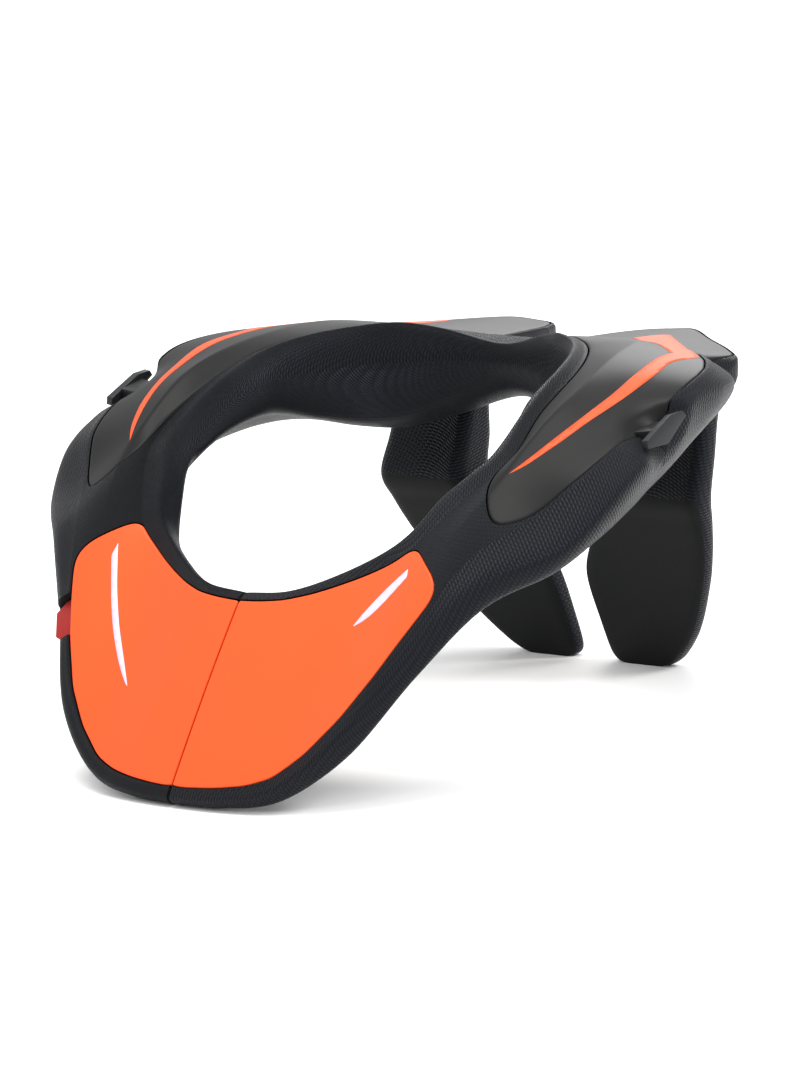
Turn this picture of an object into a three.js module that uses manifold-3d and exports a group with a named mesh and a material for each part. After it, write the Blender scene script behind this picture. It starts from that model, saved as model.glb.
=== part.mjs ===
// A motocross neck brace: a moulded foam collar that opens at the chest, two smooth
// shoulder shells, two chest panels, two rear stabilisers that stand down the wearer's
// back, two strap lugs and a pull tab. Units are millimetres, +Z is up and the wearer
// faces -Y, so +X is the wearer's left. It stands on its chest edge and two stabilisers.
import * as THREE from "three";
import { mergeVertices } from "three/addons/utils/BufferGeometryUtils.js";
import Module from "manifold-3d";

const wasm = await Module();
wasm.setup();

// Driving dimensions
const NECK_HALF_WIDTH = 91; // centre plane to the widest point of the collar's rim
const NECK_LENGTH = 165; // rim at the chest to rim at the nape
const HEIGHT = 147; // floor to the highest point of the shoulders
const ARM_WIDTH = 60; // the size that every section's reach from the rim is a share of
const SEAM_GAP = 0.8; // slit between the collar's two ends at the chest
const REAR_LENGTH = 60; // the shells' reach behind the nape
const REAR_HALF_WIDTH = 108; // centre plane to a shell's outer rear corner
const SHELF_DEPTH = 13; // foam under a shell's rear corner
const SPAR_SPREAD = 84.5; // centre plane to a stabiliser's outer edge at its knee
const SPAR_KNEE_Y = 92; // front face of the knee
const SPAR_LEAN = 30; // how far the toe stands behind the knee
const SPAR_THICKNESS = 13; // front to back at the knee

const SHELL_THICKNESS = 2.6;
const PANEL_THICKNESS = 2.4;
const PANEL_MARGIN = 1.2; // chest panel's edge inside the collar's own edge line
const SHELL_MARGIN = 1.8; // and a shoulder shell's
const BED_GAP = 0.4; // clearance under a shell or panel
const SIDE_GAP = 0.55; // clearance round a shell or panel, which shows as a dark line
const SEAT_GAP = 0.5; // clearance between a stabiliser, lug or tab and its seat

const LUG_LENGTH = 25;
const LUG_WIDTH = 9.5;
const LUG_THICKNESS = 3;
const LUG_STEM_LENGTH = 12;
const LUG_STEM_WIDTH = 4.5;
const LUG_STEM_HEIGHT = 12; // head to the bottom of its socket
const LUG_TILT = 82; // degrees that the head faces outward from straight up
const LUG_SLOPE = 8; // degrees that the head rises toward the rear
const LUG_RISE = 2.5; // above the collar's outer line
const LUG_INSET = 4.5; // the back of the head inside the collar's outer line
const SCOOP_DEPTH = 11;
const SCOOP_LENGTH = 30;
const SCOOP_HEIGHT = 25;
const SCOOP_DROP = -0.5;

const TAB_WIDTH = 18;
const TAB_THICKNESS = 2.6;
const TAB_REACH = 9; // beyond the chest panel's side edge
const TAB_ROOT = 8; // behind the panel
const TAB_DROP = 4.2; // the tab's face behind the panel's face

// Where the parts sit, as shares of the collar's sizes
const PANEL_TIP_SECTION = 4; // the chest panel's upper inner corner
const PANEL_CORNER_SECTION = 4.5; // and its upper outer corner
const TAB_SECTION = 3.75; // the pull tab's middle
const SHELL_FIRST_SECTION = 5.4; // the shoulder shell's nose
const SHELL_LAST_SECTION = 14; // where its inner edge leaves the rim
const LUG_FIRST_SECTION = 8; // the strap lug's front end
const LUG_LAST_SECTION = 9.45; // and its rear end
const SHELL_EAR_SECTION = 11.9; // where its outer edge turns in behind the shoulder

// The collar's sections, from the chest slit round the wearer's left arm to the nape.
// turn is the heading of the section in degrees, where 0 points to the wearer's left.
// rim is the shell's inner edge line: x, y and z as shares of NECK_HALF_WIDTH,
// NECK_LENGTH and HEIGHT. The other columns are points of the section, in order round
// it: reach from the rim as a share of ARM_WIDTH, and height as a share of HEIGHT.
// ridge is 0 for a rounded top and 1 for one that is creased along its crest.
const SECTIONS = [
  { turn: -90, rim: [0.0, -0.485, 0.48], ridge: 0, crest: [0.4, 0.268], edge: [0.785, 0.048],
    chine: [0.81, 0.022], base: [0.715, 0.0], under: [0.46, 0.06], wall: [0.12, 0.21],
    inner: [-0.19, 0.41], roll: [-0.07, 0.488] },
  { turn: -89, rim: [0.242, -0.476, 0.49], ridge: 0, crest: [0.4, 0.277], edge: [0.785, 0.056],
    chine: [0.815, 0.028], base: [0.72, 0.004], under: [0.47, 0.066], wall: [0.12, 0.215],
    inner: [-0.19, 0.42], roll: [-0.07, 0.502] },
  { turn: -85, rim: [0.462, -0.43, 0.524], ridge: 0, crest: [0.42, 0.305], edge: [0.82, 0.088],
    chine: [0.86, 0.06], base: [0.77, 0.026], under: [0.53, 0.11], wall: [0.15, 0.26],
    inner: [-0.19, 0.455], roll: [-0.08, 0.546] },
  { turn: -76, rim: [0.659, -0.376, 0.571], ridge: 0, crest: [0.38, 0.41], edge: [0.75, 0.238],
    chine: [0.81, 0.19], base: [0.75, 0.135], under: [0.5, 0.2], wall: [0.14, 0.36],
    inner: [-0.19, 0.52], roll: [-0.09, 0.606] },
  { turn: -52, rim: [0.775, -0.345, 0.615], ridge: 0, crest: [0.27, 0.55], edge: [0.53, 0.455],
    chine: [0.6, 0.405], base: [0.59, 0.335], under: [0.38, 0.35], wall: [-0.08, 0.46],
    inner: [-0.23, 0.585], roll: [-0.12, 0.65] },
  { turn: -30, rim: [0.88, -0.275, 0.695], ridge: 0.2, crest: [0.23, 0.68], edge: [0.46, 0.62],
    chine: [0.64, 0.56], base: [0.59, 0.492], under: [0.28, 0.5], wall: [-0.16, 0.58],
    inner: [-0.26, 0.675], roll: [-0.15, 0.72] },
  { turn: -13, rim: [0.965, -0.2, 0.762], ridge: 0.6, crest: [0.17, 0.768], edge: [0.51, 0.69],
    chine: [0.79, 0.625], base: [0.66, 0.553], under: [0.2, 0.58], wall: [-0.22, 0.68],
    inner: [-0.29, 0.725], roll: [-0.13, 0.775] },
  { turn: -3, rim: [1.0, -0.121, 0.81], ridge: 1, crest: [0.11, 0.838], edge: [0.65, 0.782],
    chine: [0.87, 0.733], base: [0.66, 0.61], under: [0.12, 0.66], wall: [-0.28, 0.735],
    inner: [-0.28, 0.765], roll: [-0.12, 0.818] },
  { turn: 0, rim: [0.956, -0.005, 0.884], ridge: 1.2, crest: [0.2, 0.912], edge: [0.77, 0.85],
    chine: [0.93, 0.8], base: [0.64, 0.64], under: [0.06, 0.735], wall: [-0.24, 0.79],
    inner: [-0.2, 0.84], roll: [-0.09, 0.893] },
  { turn: 2, rim: [0.934, 0.085, 0.925], ridge: 1.2, crest: [0.22, 0.948], edge: [0.825, 0.893],
    chine: [0.9, 0.84], base: [0.6, 0.665], under: [0.03, 0.775], wall: [-0.27, 0.81],
    inner: [-0.25, 0.88], roll: [-0.1, 0.938] },
  { turn: 6, rim: [0.895, 0.175, 0.953], ridge: 1, crest: [0.22, 0.972], edge: [0.905, 0.94],
    chine: [0.95, 0.9], base: [0.62, 0.7], under: [0.02, 0.775], wall: [-0.22, 0.8],
    inner: [-0.2, 0.885], roll: [-0.1, 0.968] },
  { turn: 11, rim: [0.81, 0.27, 0.971], ridge: 0.9, crest: [0.26, 0.987], edge: [0.92, 0.957],
    chine: [1.02, 0.9], base: [0.64, 0.735], under: [0.03, 0.752], wall: [-0.19, 0.765],
    inner: [-0.17, 0.885], roll: [-0.09, 0.985] },
  { turn: 20, rim: [0.67, 0.366, 0.98], ridge: 0.7, crest: [0.36, 0.99], edge: [0.79, 0.955],
    chine: [1.0, 0.88], base: [0.7, 0.76], under: [0.12, 0.71], wall: [-0.13, 0.74],
    inner: [-0.15, 0.89], roll: [-0.08, 0.993] },
  { turn: 40, rim: [0.484, 0.43, 0.985], ridge: 0.2, crest: [0.3, 0.972], edge: [0.6, 0.94],
    chine: [0.72, 0.86], base: [0.56, 0.775], under: [0.2, 0.69], wall: [-0.06, 0.74],
    inner: [-0.11, 0.89], roll: [-0.07, 0.997] },
  { turn: 64, rim: [0.3, 0.48, 0.968], ridge: 0, crest: [0.18, 0.955], edge: [0.4, 0.925],
    chine: [0.46, 0.86], base: [0.4, 0.785], under: [0.18, 0.72], wall: [-0.03, 0.775],
    inner: [-0.09, 0.89], roll: [-0.06, 0.975] },
  { turn: 90, rim: [0.0, 0.51, 0.935], ridge: 0, crest: [0.18, 0.935], edge: [0.34, 0.92],
    chine: [0.4, 0.86], base: [0.34, 0.795], under: [0.16, 0.775], wall: [0.0, 0.81],
    inner: [-0.07, 0.885], roll: [-0.05, 0.935] },
];
const FLANK = ["edge", "chine", "base", "under", "wall", "inner", "roll", "rim"];
const RAILS = ["rim", "crest", ...FLANK.slice(0, -1)];

// The foam shelf under a shell's rear part, as upright slices from the notch at the nape
// round to the outer end. Each slice runs from its root, inside the collar, to the rear
// edge: x as a share of REAR_HALF_WIDTH, y behind the nape's rim as a share of
// REAR_LENGTH, z of its top as a share of HEIGHT.
const SHELF_SECTIONS = [
  { place: "notch", root: [0.13, 0.13, 0.931], rear: [0.17, 0.78, 0.911] },
  { place: "inner corner", root: [0.2, 0.08, 0.94], rear: [0.225, 0.965, 0.908] },
  { place: "rear side", root: [0.28, 0.02, 0.95], rear: [0.33, 1.0, 0.912] },
  { place: "rear corner", root: [0.4, -0.04, 0.961], rear: [0.445, 0.975, 0.918] },
  { place: "slanted side", root: [0.6, -0.2, 0.975], rear: [0.67, 0.68, 0.92] },
  { place: "slanted side", root: [0.8, -0.33, 0.976], rear: [0.9, 0.37, 0.923] },
  { place: "outer corner", root: [0.93, -0.36, 0.965], rear: [1.0, 0.2, 0.92] },
  { place: "outer end", root: [0.97, -0.3, 0.935], rear: [1.02, 0.04, 0.895] },
];
const SHELF_EDGE_RADIUS = 2.5; // rounding of the shelf's rear edge, top and bottom
const SHELF_DRAFT = 0.8; // how much the shelf's edge steps in toward its underside

// A stabiliser's level sections: z as a share of HEIGHT, the inner and outer edge as
// shares of SPAR_SPREAD, how far the front face stands behind the knee's as a share of
// SPAR_LEAN, and the thickness at each edge as a share of SPAR_THICKNESS.
const SPAR_SECTIONS = [
  { z: 0.0, inner: 0.17, outer: 0.42, lean: 0.97, innerThick: 0.36, outerThick: 0.35 },
  { z: 0.012, inner: 0.125, outer: 0.48, lean: 0.95, innerThick: 0.52, outerThick: 0.5 },
  { z: 0.035, inner: 0.105, outer: 0.54, lean: 0.91, innerThick: 0.58, outerThick: 0.56 },
  { z: 0.115, inner: 0.1, outer: 0.675, lean: 0.77, innerThick: 0.66, outerThick: 0.6 },
  { z: 0.265, inner: 0.115, outer: 0.84, lean: 0.5, innerThick: 0.8, outerThick: 0.62 },
  { z: 0.355, inner: 0.2, outer: 0.915, lean: 0.33, innerThick: 1.0, outerThick: 0.66 },
  { z: 0.45, inner: 0.35, outer: 0.97, lean: 0.13, innerThick: 1.35, outerThick: 0.85 },
  { z: 0.53, inner: 0.465, outer: 1.0, lean: 0.0, innerThick: 1.7, outerThick: 1.0 },
  { z: 0.625, inner: 0.475, outer: 0.985, lean: 0.2, innerThick: 1.5, outerThick: 0.95 },
  { z: 0.735, inner: 0.49, outer: 0.97, lean: 0.41, innerThick: 1.25, outerThick: 1.0 },
  { z: 0.86, inner: 0.5, outer: 0.985, lean: 0.6, innerThick: 1.3, outerThick: 1.25 },
];
const SPAR_CORNER = 0.38; // corner rounding as a share of a section's outer thickness

// How finely the curves are cut
const STEPS_BETWEEN_SECTIONS = 2;
const STEPS_ON_TOP = 4;
const STEPS_BETWEEN_FLANK_POINTS = 2;
const FINENESS = 0.05; // the smallest detail kept

// Geometry helpers

// A closed mesh as a solid, turned right side out.
function solidOf(geometry) {
  const bare = geometry.clone();
  bare.deleteAttribute("normal");
  bare.deleteAttribute("uv");
  const merged = mergeVertices(bare, 1e-4);
  const corners = Uint32Array.from(merged.index.array);
  const points = merged.attributes.position;
  let sixVolumes = 0;
  const [a, b, c] = [new THREE.Vector3(), new THREE.Vector3(), new THREE.Vector3()];
  for (let i = 0; i < corners.length; i += 3) {
    a.fromBufferAttribute(points, corners[i]);
    b.fromBufferAttribute(points, corners[i + 1]);
    c.fromBufferAttribute(points, corners[i + 2]);
    sixVolumes += a.dot(b.cross(c));
  }
  if (sixVolumes < 0) {
    for (let i = 0; i < corners.length; i += 3) {
      [corners[i + 1], corners[i + 2]] = [corners[i + 2], corners[i + 1]];
    }
  }
  const mesh = new wasm.Mesh({
    numProp: 3,
    vertProperties: Float32Array.from(points.array),
    triVerts: corners,
  });
  return new wasm.Manifold(mesh);
}

function geometryOf(solid) {
  const mesh = solid.simplify(FINENESS).getMesh();
  const geometry = new THREE.BufferGeometry();
  geometry.setAttribute("position", new THREE.BufferAttribute(mesh.vertProperties, 3));
  geometry.setIndex(new THREE.BufferAttribute(mesh.triVerts, 1));
  const faceted = geometry.toNonIndexed();
  faceted.computeVertexNormals();
  return faceted;
}

function largestPiece(solid) {
  const pieces = solid.decompose();
  return pieces.reduce((best, piece) => (piece.volume() > best.volume() ? piece : best));
}

// Closed rings of points, joined side by side and capped at both ends. A cap is flat in
// the plane across `flatAxis`.
function loftGeometry(rings, flatAxis) {
  const count = rings[0].length;
  const positions = rings.flat().flatMap((p) => [p.x, p.y, p.z]);
  const faces = [];
  for (let r = 0; r + 1 < rings.length; r++) {
    for (let k = 0; k < count; k++) {
      const next = (k + 1) % count;
      const [p, q] = [r * count + k, r * count + next];
      faces.push(p, q, q + count, p, q + count, p + count);
    }
  }
  const [first, second] = ["x", "y", "z"].filter((axis) => axis !== flatAxis);
  for (const [ring, offset, flip] of [[rings[0], 0, true],
    [rings.at(-1), (rings.length - 1) * count, false]]) {
    const outline = ring.map((p) => new THREE.Vector2(p[first], p[second]));
    const turned = THREE.ShapeUtils.isClockWise(outline);
    for (const [i, j, k] of THREE.ShapeUtils.triangulateShape(outline, [])) {
      const corner = flip !== turned ? [i, k, j] : [i, j, k];
      faces.push(...corner.map((v) => v + offset));
    }
  }
  const geometry = new THREE.BufferGeometry();
  geometry.setAttribute("position", new THREE.Float32BufferAttribute(positions, 3));
  geometry.setIndex(orientCaps(faces, positions, rings.length, count));
  return geometry;
}

// The caps are turned so that each shares its rim edges with the sides the other way.
function orientCaps(faces, positions, ringCount, count) {
  const sides = (ringCount - 1) * count * 6;
  const directed = new Set();
  for (let i = 0; i < sides; i += 3) {
    for (const [p, q] of [[0, 1], [1, 2], [2, 0]]) {
      directed.add(`${faces[i + p]},${faces[i + q]}`);
    }
  }
  const body = faces.slice(0, sides);
  const caps = [[], []];
  for (let i = sides; i < faces.length; i += 3) {
    caps[faces[i] < count ? 0 : 1].push(faces.slice(i, i + 3));
  }
  for (const cap of caps) {
    const clashes = cap.some(([i, j, k]) =>
      [[i, j], [j, k], [k, i]].some(([p, q]) => directed.has(`${p},${q}`)));
    for (const [i, j, k] of cap) body.push(...(clashes ? [i, k, j] : [i, j, k]));
  }
  return body;
}

// A flat outline, extruded along the third axis of a frame given by its first two axes.
function prism(outline, origin, across, up, from, to) {
  const shape = new THREE.Shape(outline);
  const geometry = new THREE.ExtrudeGeometry(shape, { depth: to - from, bevelEnabled: false });
  const out = new THREE.Vector3().crossVectors(across, up);
  const place = new THREE.Matrix4().makeBasis(across, up, out);
  place.setPosition(origin.clone().addScaledVector(out, from));
  return solidOf(geometry.applyMatrix4(place));
}

// An outline moved outward by a distance, with its corners kept.
function grownOutline(outline, distance) {
  const turned = THREE.ShapeUtils.isClockWise(outline) ? -1 : 1;
  const outward = (from, to) => {
    const along = to.clone().sub(from).normalize();
    return new THREE.Vector2(turned * along.y, -turned * along.x);
  };
  return outline.map((point, i) => {
    const before = outward(outline.at(i - 1), point);
    const after = outward(point, outline[(i + 1) % outline.length]);
    const middle = before.clone().add(after).normalize();
    const stretch = Math.max(middle.dot(before), 0.5);
    return point.clone().addScaledVector(middle, distance / stretch);
  });
}

function smoothOutline(points, perSpan) {
  const curve = new THREE.SplineCurve(points);
  return curve.getPoints(perSpan * (points.length - 1));
}

const mirrored = (solid) => solid.mirror([1, 0, 0]);

// The collar

// A rail's point at a section: the rim in space, or a reach from it along the heading.
function railPoint(section, rail) {
  const [x, y, z] = section.rim;
  const base = new THREE.Vector3(x * NECK_HALF_WIDTH, y * NECK_LENGTH, z * HEIGHT);
  if (rail === "rim") return base;
  const [reach, height] = section[rail];
  const heading = THREE.MathUtils.degToRad(section.turn);
  base.x += Math.cos(heading) * reach * ARM_WIDTH;
  base.y += Math.sin(heading) * reach * ARM_WIDTH;
  base.z = height * HEIGHT;
  return base;
}

// Each rail is one smooth curve from the chest slit to the nape and on, mirrored, to the
// other side of the slit, so that it is smooth behind the neck.
const LAST = SECTIONS.length - 1;
const rails = Object.fromEntries(RAILS.map((rail) => {
  const side = SECTIONS.map((section) => railPoint(section, rail));
  side[0].x = SEAM_GAP / 2;
  side[LAST].x = 0;
  const other = side.slice(0, -1).reverse().map((p) => p.clone().setX(-p.x));
  return [rail, new THREE.CatmullRomCurve3([...side, ...other], false, "centripetal")];
}));

// A rail's point at a place counted in sections from the chest slit.
const onRail = (rail, place) => rails[rail].getPoint(place / (2 * LAST));

function ridgeAt(place) {
  const low = Math.min(Math.floor(place), LAST - 1);
  const share = place - low;
  return THREE.MathUtils.lerp(SECTIONS[low].ridge, SECTIONS[low + 1].ridge, share);
}

// The top of a section, from the rim over the crest to the edge.
function topOfSection(place) {
  const [rim, crest, edge] = ["rim", "crest", "edge"].map((rail) => onRail(rail, place));
  const ridge = ridgeAt(place);
  const middle = rim.clone().add(edge).multiplyScalar(0.5);
  const pull = crest.clone().multiplyScalar(2).sub(middle);
  const arc = new THREE.QuadraticBezierCurve3(rim, pull, edge);
  const points = [];
  for (let i = 0; i < 2 * STEPS_ON_TOP; i++) {
    const share = i / STEPS_ON_TOP;
    const straight = share < 1
      ? rim.clone().lerp(crest, share)
      : crest.clone().lerp(edge, share - 1);
    points.push(arc.getPoint(share / 2).lerp(straight, ridge));
  }
  return points;
}

// The rest of a section, from the edge under the arm and up the neck side to the rim.
function flankOfSection(place) {
  const knots = FLANK.map((rail) => onRail(rail, place));
  const curve = new THREE.CatmullRomCurve3(knots, false, "centripetal");
  return curve.getPoints(STEPS_BETWEEN_FLANK_POINTS * (knots.length - 1)).slice(0, -1);
}

// The whole collar as one solid, or a little larger all round for clearance.
function collarBody(growth = 0) {
  const rings = [];
  for (let i = 0; i <= LAST * STEPS_BETWEEN_SECTIONS; i++) {
    const place = i / STEPS_BETWEEN_SECTIONS;
    const ring = [...topOfSection(place), ...flankOfSection(place)];
    rings.push(growth ? grownRing(ring, growth) : ring);
  }
  rings.at(-1).forEach((p) => p.setX(0));
  const half = solidOf(loftGeometry(rings, "x"));
  return half.add(mirrored(half));
}

// A ring with each point moved away from its middle, across its own line.
function grownRing(ring, growth) {
  const middle = ring.reduce((sum, p) => sum.add(p), new THREE.Vector3());
  middle.divideScalar(ring.length);
  const normal = new THREE.Vector3();
  ring.forEach((p, i) => {
    const q = ring[(i + 1) % ring.length];
    normal.add(p.clone().sub(middle).cross(q.clone().sub(middle)));
  });
  normal.normalize();
  return ring.map((p, i) => {
    const along = ring[(i + 1) % ring.length].clone().sub(ring.at(i - 1)).normalize();
    return p.clone().addScaledVector(along.cross(normal), growth);
  });
}

// The stabilisers

// A rounded four-sided section at one level of a stabiliser.
function sparRing({ z, inner, outer, lean, innerThick, outerThick }) {
  const front = SPAR_KNEE_Y + lean * SPAR_LEAN;
  const [left, right] = [inner * SPAR_SPREAD, outer * SPAR_SPREAD];
  const radius = SPAR_CORNER * outerThick * SPAR_THICKNESS;
  const corners = [[right, front + outerThick * SPAR_THICKNESS, 0],
    [left, front + innerThick * SPAR_THICKNESS, 90], [left, front, 180], [right, front, 270]];
  const ring = [];
  for (const [x, y, start] of corners) {
    const inX = x === left ? radius : -radius;
    const inY = y === front ? radius : -radius;
    for (const turn of [0, 30, 60, 90]) {
      const angle = THREE.MathUtils.degToRad(start + turn);
      ring.push(new THREE.Vector3(x + inX + radius * Math.cos(angle),
        y + inY + radius * Math.sin(angle), z * HEIGHT));
    }
  }
  return ring;
}

function rearPoint([x, y, z]) {
  const nape = onRail("rim", LAST).y;
  return new THREE.Vector3(x * REAR_HALF_WIDTH, nape + y * REAR_LENGTH, z * HEIGHT);
}
const [shelfRoots, shelfEdges] = ["root", "rear"].map((column) =>
  new THREE.CatmullRomCurve3(SHELF_SECTIONS.map((row) => rearPoint(row[column])), false,
    "centripetal"));

// The foam slab that carries a shell's rear part.
function shelfBody() {
  const rings = [];
  const steps = 3 * (SHELF_SECTIONS.length - 1);
  for (let i = 0; i <= steps; i++) {
    const root = shelfRoots.getPoint(i / steps);
    const rear = shelfEdges.getPoint(i / steps);
    const back = rear.clone().sub(root).setZ(0).normalize();
    const [r, depth] = [SHELF_EDGE_RADIUS, SHELF_DEPTH];
    const endDraft = THREE.MathUtils.lerp(SHELF_DRAFT, -SHELF_DRAFT, i / steps);
    const at = (base, along, down) => {
      const p = base.clone().addScaledVector(back, -along - (SHELF_DRAFT * down) / depth);
      return p.set(p.x + (endDraft * down) / depth, p.y, base.z - down);
    };
    rings.push([
      root,
      root.clone().lerp(rear, 0.5),
      at(rear, 0.4 * r, 0),
      at(rear, 0, 0.5 * r),
      at(rear, 0, depth - 2 * r),
      at(rear, 0.8 * r, depth - 0.6 * r),
      at(rear, 3 * r, depth),
      at(root, 0, 1.3 * depth),
    ]);
  }
  return solidOf(loftGeometry(rings, "x"));
}

function stabiliserBody() {
  const spar = solidOf(loftGeometry(SPAR_SECTIONS.map(sparRing), "z"));
  return spar.add(shelfBody());
}

// The inserts: what is laid into a bed in the foam

// A corner cut back by a distance on both sides and joined by a curve.
function roundedCorner(before, corner, after, setback) {
  const [start, end] = [before, after].map((neighbour) => {
    const away = neighbour.clone().sub(corner);
    return corner.clone().add(away.setLength(Math.min(setback, 0.45 * away.length())));
  });
  return new THREE.QuadraticBezierCurve(start, corner, end).getPoints(5);
}

const flatten = (p) => new THREE.Vector2(p.x, p.y);

// A shoulder shell's outline from above.
function shellOutline() {
  const along = (rail, from, to, step) => {
    const line = [];
    for (let place = from; place <= to + 1e-6; place += step) {
      line.push(flatten(onRail(rail, place)));
    }
    return line;
  };
  const acrossTop = (place, share) => flatten(onRail("rim", place))
    .lerp(flatten(onRail("edge", place)), share);
  const rimSide = along("rim", SHELL_FIRST_SECTION + 1.25, SHELL_LAST_SECTION, 0.5);
  const edgeSide = along("edge", SHELL_FIRST_SECTION + 0.5, SHELL_EAR_SECTION, 0.5).reverse();
  const nose = smoothOutline([edgeSide.at(-1), acrossTop(SHELL_FIRST_SECTION, 0.88),
    acrossTop(SHELL_FIRST_SECTION, 0.56), acrossTop(SHELL_FIRST_SECTION + 0.45, 0.14),
    rimSide[0]], 3).slice(1, -1);
  const rear = shelfEdges.getPoints(3 * (SHELF_SECTIONS.length - 1)).slice(0, -3).map(flatten);
  const notch = smoothOutline([rimSide.at(-1), flatten(shelfRoots.getPoint(0.13)),
    flatten(shelfRoots.getPoint(0)), rear[0]], 3);
  const line = [...rimSide.slice(0, -1), ...notch.slice(0, -1), ...rear, ...edgeSide, ...nose];
  return grownOutline(line, -SHELL_MARGIN);
}

// The chest panel lies square to this direction, in the plane of the chest slit.
const chestTop = onRail("rim", 0);
const chestFoot = onRail("edge", 0);
const CHEST_UP = new THREE.Vector3(0, chestTop.y - chestFoot.y, chestTop.z - chestFoot.z)
  .normalize();
const ACROSS = new THREE.Vector3(1, 0, 0);
const CHEST_OUT = new THREE.Vector3().crossVectors(ACROSS, CHEST_UP);

// A chest panel's outline in its own plane, measured from the panel's foot.
function panelOutline() {
  const flat = (rail, place) => {
    const p = onRail(rail, place).sub(chestFoot);
    return new THREE.Vector2(p.x, p.dot(CHEST_UP));
  };
  const inner = [];
  const outer = [];
  for (let place = 0; place <= PANEL_TIP_SECTION; place += 0.5) {
    inner.push(flat("rim", place));
  }
  for (let place = 0; place <= PANEL_TIP_SECTION; place += 0.5) {
    outer.push(flat("edge", place));
  }
  const tip = flat("rim", PANEL_TIP_SECTION + 0.15);
  const corner = flat("edge", PANEL_CORNER_SECTION);
  const tipTurn = roundedCorner(inner.at(-2), tip, corner, ARM_WIDTH * 0.12);
  const cornerTurn = roundedCorner(tip, corner, outer.at(-1), ARM_WIDTH * 0.18);
  const line = [...inner.slice(0, -1), ...tipTurn, ...cornerTurn, ...outer.reverse()];
  const inset = grownOutline(line, -PANEL_MARGIN);
  inset[0].x = SEAM_GAP / 2;
  inset.at(-1).x = SEAM_GAP / 2;
  return inset.map((p) => p.setX(Math.max(p.x, SEAM_GAP / 2)));
}

// The strap lugs

function lugFrame() {
  const front = onRail("chine", LUG_FIRST_SECTION);
  const rear = onRail("chine", LUG_LAST_SECTION);
  const seat = front.clone().lerp(rear, 0.5);
  seat.x = Math.max(front.x, rear.x) - LUG_INSET;
  seat.z += LUG_RISE;
  const tilt = THREE.MathUtils.degToRad(LUG_TILT);
  const slope = THREE.MathUtils.degToRad(LUG_SLOPE);
  const along = new THREE.Vector3(0, Math.cos(slope), Math.sin(slope));
  const facing = new THREE.Vector3(Math.sin(tilt), 0, Math.cos(tilt));
  const side = new THREE.Vector3().crossVectors(facing, along).normalize();
  return { seat, along, side, out: new THREE.Vector3().crossVectors(along, side) };
}

// A long hexagon, centred.
function hexagon(length, width) {
  const [x, y] = [length / 2, width / 2];
  return [[-x, -y * 0.6], [-x * 0.95, y * 0.05], [x * 0.35, y], [x * 0.9, y * 0.85],
    [x, y * 0.35], [-x * 0.1, -y]].map(([a, b]) => new THREE.Vector2(a, b));
}

function lugBody(growth = 0) {
  const { seat, along, side, out } = lugFrame();
  const up = out.x > 0 ? side : side.clone().negate();
  const outline = grownOutline(hexagon(LUG_LENGTH, LUG_WIDTH), growth);
  const head = prism(outline, seat, along, up, -growth, LUG_THICKNESS + growth);
  const [a, b] = [LUG_STEM_LENGTH / 2 + growth, LUG_STEM_WIDTH / 2 + growth];
  const section = [[-a, -b], [a, -b], [a, b], [-a, b]].map(([x, y]) => new THREE.Vector2(x, y));
  const stem = prism(section, seat, along, up, -LUG_STEM_HEIGHT - growth, 0.5);
  return head.add(stem);
}

// The hollow in the foam behind a lug, where a strap's loop passes.
function lugScoop() {
  const { seat } = lugFrame();
  const ball = new THREE.SphereGeometry(1, 20, 12);
  ball.scale(SCOOP_DEPTH, SCOOP_LENGTH / 2, SCOOP_HEIGHT / 2);
  ball.translate(seat.x + LUG_INSET, seat.y, seat.z - SCOOP_DROP);
  return solidOf(ball);
}

// The pull tab

function tabFrame() {
  const mirror = new THREE.Vector3(-1, 1, 1);
  const edgeAt = (place) => onRail("edge", place).multiply(mirror);
  const up = edgeAt(TAB_SECTION + 0.4).sub(edgeAt(TAB_SECTION - 0.4)).normalize();
  const out = CHEST_OUT.clone().addScaledVector(up, -CHEST_OUT.dot(up)).normalize();
  const away = new THREE.Vector3().crossVectors(up, out).normalize();
  return { seat: edgeAt(TAB_SECTION), up, away: away.x < 0 ? away : away.negate(), out };
}

// A tongue that comes out of the foam behind the chest panel's side edge. Its slot is
// open to the front.
function tabBody(growth = 0, open = false) {
  const { seat, up, away, out } = tabFrame();
  const half = TAB_WIDTH / 2 + growth;
  const reach = open ? 3 * TAB_REACH : TAB_REACH;
  const outline = [[-TAB_ROOT - growth, -half], [reach * 0.4, -half], [reach, -half * 0.6],
    [reach, half * 0.6], [reach * 0.4, half], [-TAB_ROOT - growth, half]]
    .map(([x, y]) => new THREE.Vector2(x, y * (open ? 1.05 : 1)));
  const across = new THREE.Vector3().crossVectors(away, up).dot(out) > 0 ? 1 : -1;
  const [low, high] = [-TAB_DROP - TAB_THICKNESS - growth, open ? TAB_THICKNESS : -TAB_DROP];
  return across > 0
    ? prism(outline, seat, away, up, low, high)
    : prism(outline.map((p) => new THREE.Vector2(p.y, p.x)), seat, up, away, low, high);
}

// Assembly

const collar = collarBody();
const collarClearance = collarBody(SEAT_GAP);
const rawStabiliser = stabiliserBody();

const UP = new THREE.Vector3(0, 1, 0);
const GROUND = new THREE.Vector3(0, 0, 0);
const SKY = 2 * HEIGHT;

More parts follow.
